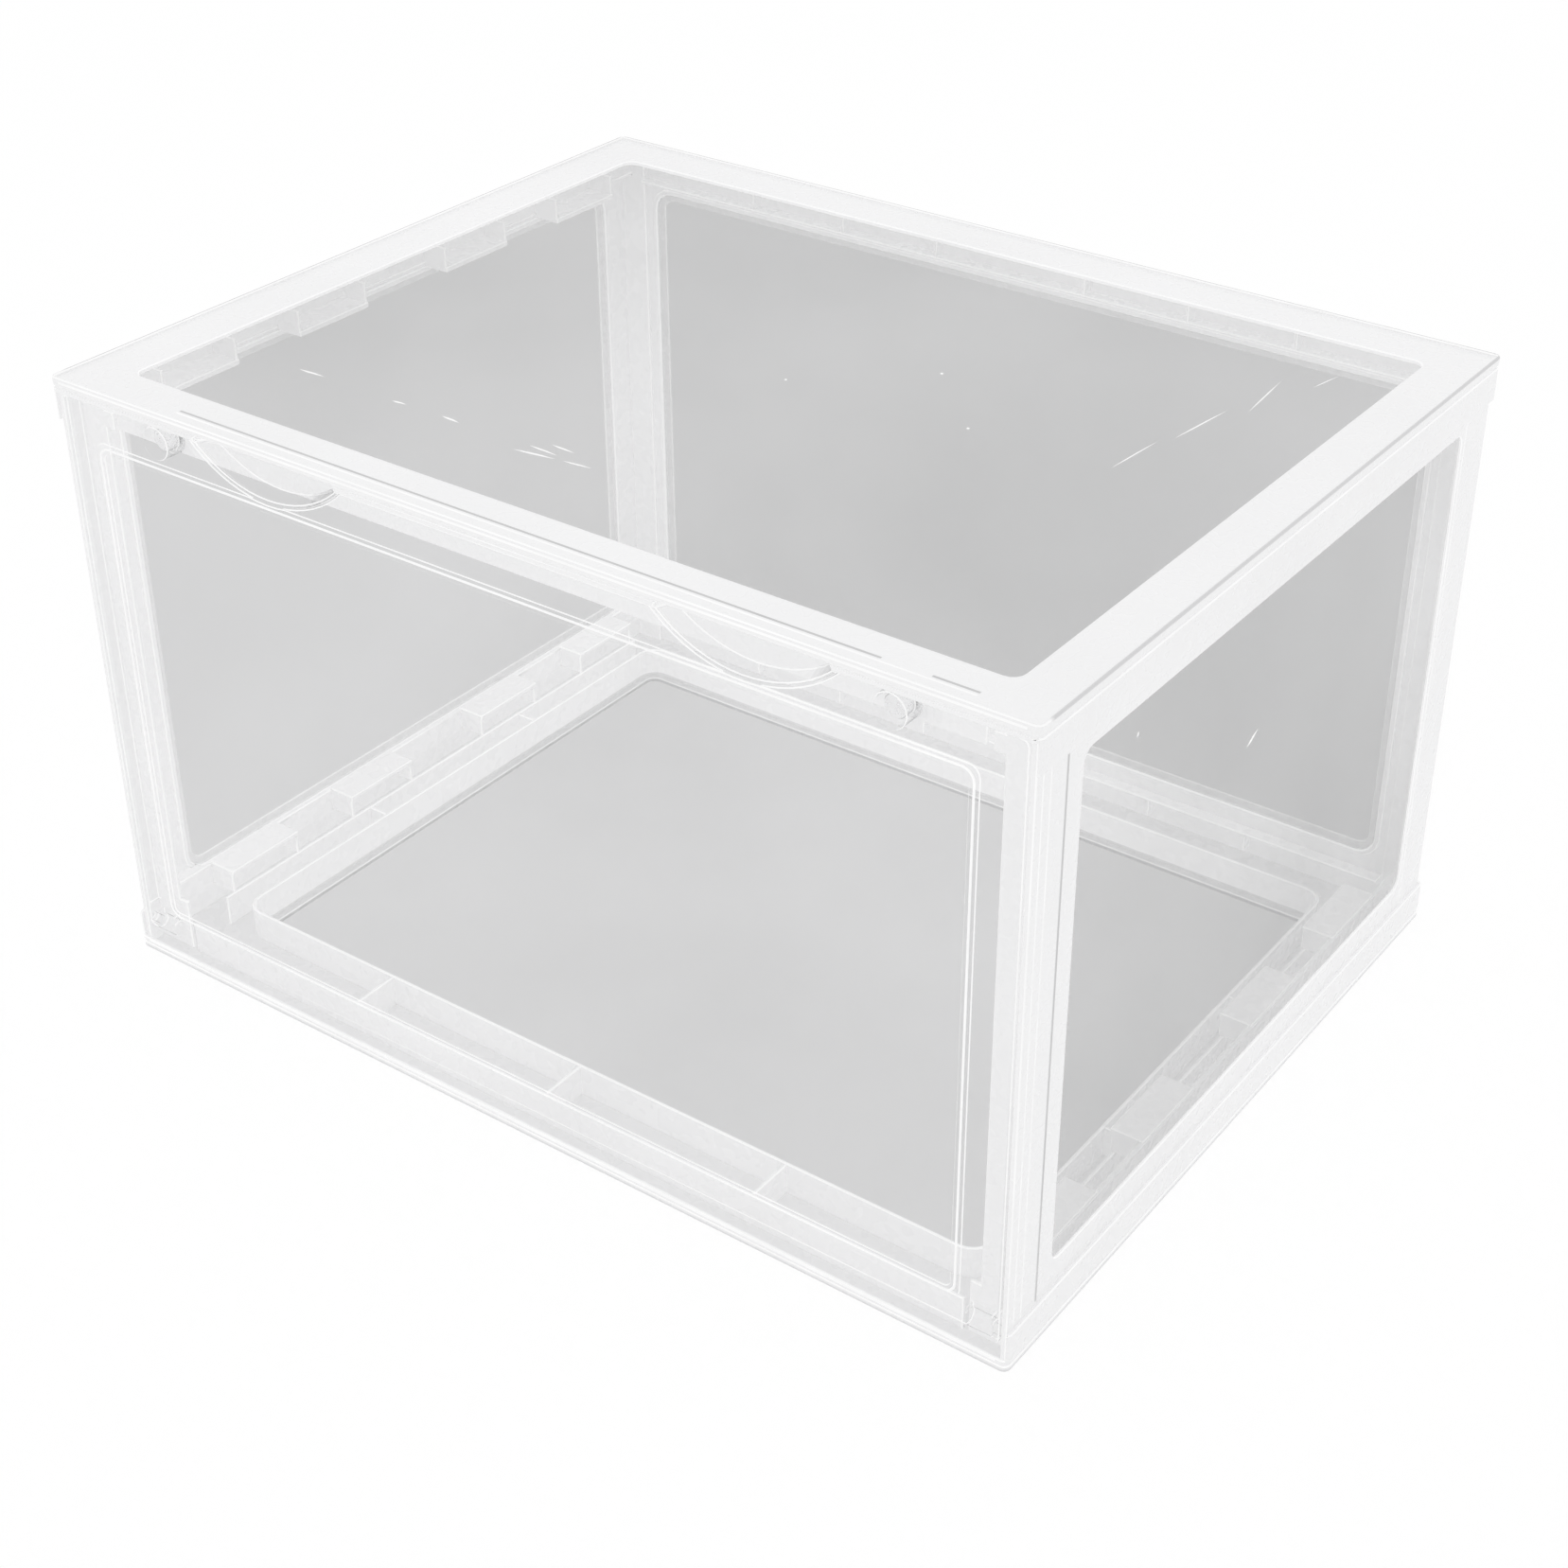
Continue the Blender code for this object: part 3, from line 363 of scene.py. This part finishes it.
def clear_plastic(name, tints, veil, edge, haze, gloss):
    """Clear glossy plastic: a smudged veil over what is behind it, denser where it is seen edge-on."""
    material, tree, shader = new_material(name)
    place = object_coordinates(tree)
    shader.inputs["IOR"].default_value = CLEAR_IOR
    shader.inputs["Specular IOR Level"].default_value = gloss
    even = ranged(tree, facing(tree), EDGE_START, 1.0, veil, edge)
    smudges = ranged(tree, noise(tree, place, SMUDGE_SCALE, SMUDGE_DETAIL), *NOISE_SPAN, *SMUDGES)
    cover = maths(tree, "MULTIPLY", even, smudges)
    colour = colour_mix(tree, clouds(tree, place, CLEAR_CLOUD_SCALE), *tints)
    roughness = ranged(tree, noise(tree, place, HAZE_SCALE, HAZE_DETAIL), *HAZE_SPAN, *haze)
    waves = bump(tree, noise(tree, place, WAVE_SCALE), WAVE_STRENGTH, WAVE_HEIGHT)
    tree.links.new(maths(tree, "MULTIPLY", looked_at(tree), cover), shader.inputs["Alpha"])
    tree.links.new(colour, shader.inputs["Base Color"])
    tree.links.new(roughness, shader.inputs["Roughness"])
    tree.links.new(waves, shader.inputs["Normal"])
    return material


def finish_moulded(tree, shader, place, colour, grain, alpha):
    """Sets what the milky plastic, its bright edges and its shaded grooves have in common."""
    shader.inputs["IOR"].default_value = MILK_IOR
    roughness = ranged(tree, noise(tree, place, GRAIN_SCALE), *NOISE_SPAN, *grain)
    tree.links.new(colour, shader.inputs["Base Color"])
    tree.links.new(roughness, shader.inputs["Roughness"])
    tree.links.new(alpha, shader.inputs["Alpha"])


def milky_plastic(name):
    """Milky satin plastic with faint flow marks, its foot greyed by painted shade and a painted dark outline
    along its outer edges.
    """
    material, tree, shader = new_material(name)
    place = object_coordinates(tree)
    cloudy = colour_mix(tree, clouds(tree, place, MILK_CLOUD_SCALE), *MILK_TINTS)
    # Painted shade: the lowest millimetres of the foot are greyed and the box's outer edges darkened
    foot_shade = ranged(tree, place_parts(tree, place)["Z"], *FOOT_SHADE_HEIGHTS, 1.0, 0.0)
    tone = blended(tree, foot_shade, cloudy, FOOT_SHADE_TONE)
    colour = blended(tree, outline(tree, place), tone, OUTLINE_SHADE_TONE)
    cover = ranged(tree, facing(tree), MILK_COVER_START, 1.0, *MILK_COVER)
    alpha = maths(tree, "MULTIPLY", cover, looked_at(tree, MILK_GLOW_THROUGH))
    flow = bump(tree, noise(tree, place, MILK_FLOW_SCALE), MILK_FLOW_STRENGTH, MILK_FLOW_HEIGHT)
    finish_moulded(tree, shader, place, colour, MILK_ROUGHNESS, alpha)
    tree.links.new(flow, shader.inputs["Normal"])
    return material


def edge_highlight_plastic(name):
    """Painted highlight: the chamfered edges of the mouldings, where the plastic gathers light, coloured
    near white.
    """
    material, tree, shader = new_material(name)
    place = object_coordinates(tree)
    bright = colour_mix(tree, clouds(tree, place, EDGE_CLOUD_SCALE), *EDGE_HIGHLIGHT_TINTS)
    # The painted highlight gives way to the painted dark outline along the box's outer edges
    colour = blended(tree, outline(tree, place), bright, OUTLINE_SHADE_TONE)
    finish_moulded(tree, shader, place, colour, EDGE_ROUGHNESS, looked_at(tree, TRIM_GLOW_THROUGH))
    return material


def groove_shade_plastic(name):
    """Painted shade: the dark lines at the grooves and undercuts of the mouldings, where little light is
    gathered, coloured dark grey.
    """
    material, tree, shader = new_material(name)
    place = object_coordinates(tree)
    colour = colour_mix(tree, clouds(tree, place, GROOVE_CLOUD_SCALE), *GROOVE_SHADE_TINTS)
    finish_moulded(tree, shader, place, colour, GROOVE_ROUGHNESS, looked_at(tree, TRIM_GLOW_THROUGH))
    return material


def bright_steel(name):
    material, tree, shader = new_material(name)
    shader.inputs["Metallic"].default_value = STEEL_METALLIC
    streaks = noise(tree, object_coordinates(tree), STEEL_SMEAR_SCALE, STEEL_SMEAR_DETAIL)
    smear = ranged(tree, streaks, *NOISE_SPAN, 0.0, 1.0)
    tree.links.new(colour_mix(tree, smear, *STEEL_TINTS), shader.inputs["Base Color"])
    tree.links.new(ranged(tree, smear, 0.0, 1.0, *STEEL_ROUGHNESS), shader.inputs["Roughness"])
    return material


def seen_directly(tree):
    """1 for camera, glossy and transmission rays, 0 for the others."""
    rays = add_node(tree, "ShaderNodeLightPath").outputs
    direct = maths(tree, "MAXIMUM", rays["Is Camera Ray"], rays["Is Glossy Ray"])
    return maths(tree, "MAXIMUM", direct, rays["Is Transmission Ray"])


def shown_background(tree):
    """White round the box, as the photograph is cut out, and the studio's pale grey through it."""
    rays = add_node(tree, "ShaderNodeLightPath")
    through = ranged(tree, rays.outputs["Transparent Depth"], 0.0, 1.0, 0.0, 1.0)
    return colour_mix(tree, through, BACKGROUND_COLOUR, BACKGROUND_THROUGH_BOX)


def make_world():
    world = bpy.data.worlds.new("studio")
    bpy.context.scene.world = world
    world.use_nodes = True
    tree = world.node_tree
    tree.nodes.clear()
    sky = add_node(tree, "ShaderNodeBackground")
    sky.inputs["Color"].default_value = SKY_COLOUR
    shown = add_node(tree, "ShaderNodeBackground")
    tree.links.new(shown_background(tree), shown.inputs["Color"])
    mix = add_node(tree, "ShaderNodeMixShader")
    output = add_node(tree, "ShaderNodeOutputWorld")
    tree.links.new(seen_directly(tree), mix.inputs["Fac"])
    tree.links.new(sky.outputs[0], mix.inputs[1])
    tree.links.new(shown.outputs[0], mix.inputs[2])
    tree.links.new(mix.outputs[0], output.inputs["Surface"])


def make_floor():
    """Pale paper that shows the background's colour and keeps a share of its own, for the shadow."""
    bpy.ops.mesh.primitive_plane_add(size=FLOOR_SIZE, location=(0.0, 0.0, -FLOOR_DROP))
    floor = bpy.context.object
    floor.name = "studio_floor"
    material, tree, shader = new_material("studio_floor_paper")
    shader.inputs["Base Color"].default_value = FLOOR_COLOUR
    shader.inputs["Roughness"].default_value = FLOOR_ROUGHNESS
    shader.inputs["Specular IOR Level"].default_value = FLOOR_GLOSS
    glow = add_node(tree, "ShaderNodeEmission")
    tree.links.new(shown_background(tree), glow.inputs["Color"])
    mix = add_node(tree, "ShaderNodeMixShader")
    tree.links.new(ranged(tree, seen_directly(tree), 0.0, 1.0, 0.0, FLOOR_GLOW), mix.inputs["Fac"])
    tree.links.new(shader.outputs[0], mix.inputs[1])
    tree.links.new(glow.outputs[0], mix.inputs[2])
    tree.links.new(mix.outputs[0], tree.nodes["Material Output"].inputs["Surface"])
    floor.data.materials.append(material)


def make_camera():
    data = bpy.data.cameras.new("photo_camera")
    data.lens = CAMERA_LENS
    data.sensor_width = CAMERA_SENSOR
    data.shift_x, data.shift_y = CAMERA_SHIFT
    data.clip_start = CAMERA_NEAR
    data.clip_end = CAMERA_FAR
    camera = bpy.data.objects.new("photo_camera", data)
    turn = CAMERA_BACKWARD.to_track_quat("Z", "Y").to_matrix().to_4x4()
    camera.matrix_world = Matrix.Translation(CAMERA_PLACE) @ turn @ Matrix.Rotation(CAMERA_ROLL, 4, "Z")
    bpy.context.scene.collection.objects.link(camera)
    bpy.context.scene.camera = camera


def make_lamp(name, place, width, power):
    data = bpy.data.lights.new(name, "AREA")
    data.shape = "SQUARE"
    data.size = width
    data.energy = power
    lamp = bpy.data.objects.new(name, data)
    lamp.location = place
    lamp.rotation_mode = "QUATERNION"
    lamp.rotation_quaternion = (place - LAMP_AIM).to_track_quat("Z", "Y")
    bpy.context.scene.collection.objects.link(lamp)


def dress(nodes, material):
    for name in nodes:
        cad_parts[name].material_slots[0].material = material


def new_piece(name, shape, body, materials):
    mesh = bpy.data.meshes.new(name)
    shape.to_mesh(mesh)
    shape.free()
    for material in materials:
        mesh.materials.append(material)
    piece = bpy.data.objects.new(name, mesh)
    bpy.context.scene.collection.objects.link(piece)
    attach(piece, body)
    return piece


def split_at(shape, axis, value):
    """Splits the faces that cross a plane square to an axis, without moving them."""
    normal = [float(number == axis) for number in (X, Y, Z)]
    point = [value * part for part in normal]
    geometry = shape.verts[:] + shape.edges[:] + shape.faces[:]
    bmesh.ops.bisect_plane(shape, geom=geometry, dist=SPLIT_SNAP, plane_co=point, plane_no=normal)


def takes_chamfer(edge):
    """Sharp and outward, and not on the small ribs beside the door's magnet bosses."""
    if not edge.is_manifold or not edge.is_convex or edge.calc_face_angle() < SHARP_ANGLE:
        return False
    middle = (edge.verts[0].co + edge.verts[1].co) / 2
    on_rib = RIBS_BY_BOSS[0] < abs(middle.x) < RIBS_BY_BOSS[1] and middle.z > RIBS_LOWEST
    return not (on_rib and middle.y < RIBS_BACK_END)


def lies_in(point, axis, low, high):
    return low < point[axis] < high


def moulded(name, body, chamfer, materials):
    """Stands in for a CAD node with the same solid, its sharp edges broken by narrow chamfers coloured as a
    painted highlight, and with lines of painted highlight and painted shade.
    """
    shape = bmesh.new()
    shape.from_mesh(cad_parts[name].data)
    bmesh.ops.remove_doubles(shape, verts=shape.verts, dist=WELD)
    sharp = [edge for edge in shape.edges if takes_chamfer(edge)]
    bmesh.ops.bevel(
        shape, geom=sharp, offset=chamfer, segments=1, profile=0.5, affect="EDGES",
        clamp_overlap=False, material=HIGHLIGHT,
    )
    lines = LINES.get(name, ())
    for _, across, along, _ in lines:
        for axis, low, high in (across, along):
            split_at(shape, axis, low)
            split_at(shape, axis, high)
    bmesh.ops.dissolve_degenerate(shape, dist=SPLIT_SNAP, edges=shape.edges[:])
    bmesh.ops.remove_doubles(shape, verts=shape.verts, dist=WELD)
    for face in shape.faces:
        middle = face.calc_center_median()
        for (axis, side), across, along, index in lines:
            outside = face.normal[axis] * side > SQUARE_ON and middle[axis] * side > OUTER_SHELL[axis]
            if outside and lies_in(middle, *across) and lies_in(middle, *along):
                face.material_index = index
    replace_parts(new_piece(name + "_moulding", shape, body, materials), name)


def crown_path():
    """Points of (x, z) round the bead's middle line, with rounded corners."""
    side = CROWN_HALF_RUN - CROWN_CORNER
    low = CROWN_HEIGHTS[0] + CROWN_CORNER
    high = CROWN_HEIGHTS[1] - CROWN_CORNER
    path = []
    for x, z, start in ((side, low, -90.0), (side, high, 0.0), (-side, high, 90.0), (-side, low, 180.0)):
        for step in range(CROWN_STEPS + 1):
            angle = math.radians(start + 90.0 * step / CROWN_STEPS)
            path.append((x + CROWN_CORNER * math.cos(angle), z + CROWN_CORNER * math.sin(angle)))
    return path


def bead_crown(material):
    """A low rounded ridge, swept along the bead."""
    path = crown_path()
    shape = bmesh.new()
    rings = []
    for number, point in enumerate(path):
        before = path[number - 1]
        after = path[(number + 1) % len(path)]
        ahead = Vector((after[0] - before[0], after[1] - before[1])).normalized()
        ring = []
        for across, out in CROWN_PROFILE:
            sideways = CROWN_HALF_WIDTH * across
            x = point[0] + ahead.y * sideways
            z = point[1] - ahead.x * sideways
            ring.append(shape.verts.new((x, CROWN_FACE - CROWN_STAND * out, z)))
        rings.append(ring)
    for number, ring in enumerate(rings):
        following = rings[(number + 1) % len(rings)]
        for corner in range(len(ring)):
            beside = (corner + 1) % len(ring)
            shape.faces.new((ring[corner], ring[beside], following[beside], following[corner]))
    bmesh.ops.recalc_face_normals(shape, faces=shape.faces)
    new_piece("bead_crown", shape, "door", (material,))


def scuff_and_glint_marks(sheet, axis, scuffs_and_glints, material):
    """Slivers of raised plastic along scratches and painted glints in the outer face of a sheet, square to
    an axis.
    """
    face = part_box(sheet)[1][axis]
    across, along = [number for number in (X, Y, Z) if number != axis]
    shape = bmesh.new()
    for start, end, width in scuffs_and_glints:
        run = Vector((end[0] - start[0], end[1] - start[1]))
        aside = Vector((-run.y, run.x)).normalized() * width / 2
        low = []
        high = []
        for share, offset in MARK_OUTLINE:
            point = Vector(start) + run * share + aside * offset
            place = [0.0, 0.0, 0.0]
            place[across] = point.x
            place[along] = point.y
            place[axis] = face
            low.append(shape.verts.new(place))
            place[axis] = face + MARK_STAND
            high.append(shape.verts.new(place))
        shape.faces.new(reversed(low))
        shape.faces.new(high)
        for corner in range(len(low)):
            beside = (corner + 1) % len(low)
            shape.faces.new((low[corner], low[beside], high[beside], high[corner]))
    bmesh.ops.recalc_face_normals(shape, faces=shape.faces)
    new_piece(sheet + "_scuffs", shape, "box", (material,))


# Studio
make_world()
make_floor()
make_camera()
for lamp in LAMPS:
    make_lamp(*lamp)

# Materials
highlight_edge = edge_highlight_plastic("painted_highlight_plastic_edge")
shaded_groove = groove_shade_plastic("shaded_plastic_groove")
milk = milky_plastic("milky_frame_plastic")
clear_sheet = clear_plastic("clear_sheet", SHEET_TINTS, SHEET_VEIL, SHEET_EDGE, SHEET_HAZE, SHEET_GLOSS)
clear_back = clear_plastic("clear_back_sheet", SHEET_TINTS, BACK_VEIL, SHEET_EDGE, SHEET_HAZE, SHEET_GLOSS)
clear_door = clear_plastic("clear_door_plastic", DOOR_TINTS, DOOR_VEIL, DOOR_EDGE, DOOR_HAZE, DOOR_GLOSS)

# Pieces
for name in FRAME_NODES:
    moulded(name, "box", FRAME_CHAMFER, (milk, highlight_edge, shaded_groove))
for name in DOOR_NODES:
    moulded(name, "door", DOOR_CHAMFER, (clear_door, highlight_edge))
dress(SHEET_NODES, clear_sheet)
dress(BACK_SHEET_NODES, clear_back)
dress(STEEL_NODES, bright_steel("bright_plated_steel"))
# The bead's crown is coloured as a painted highlight
bead_crown(highlight_edge)
# Bright slivers in the painted-highlight material: partly scuffs and partly painted glints
scuff_and_glint_marks("top_window", Z, TOP_SCUFFS_AND_GLINTS, highlight_edge)
scuff_and_glint_marks("right_side_window", X, RIGHT_SCUFFS_AND_GLINTS, highlight_edge)

bpy.context.scene.cycles.transparent_max_bounces = SEE_THROUGH_DEPTH
bpy.context.scene.view_settings.view_transform = "Standard"
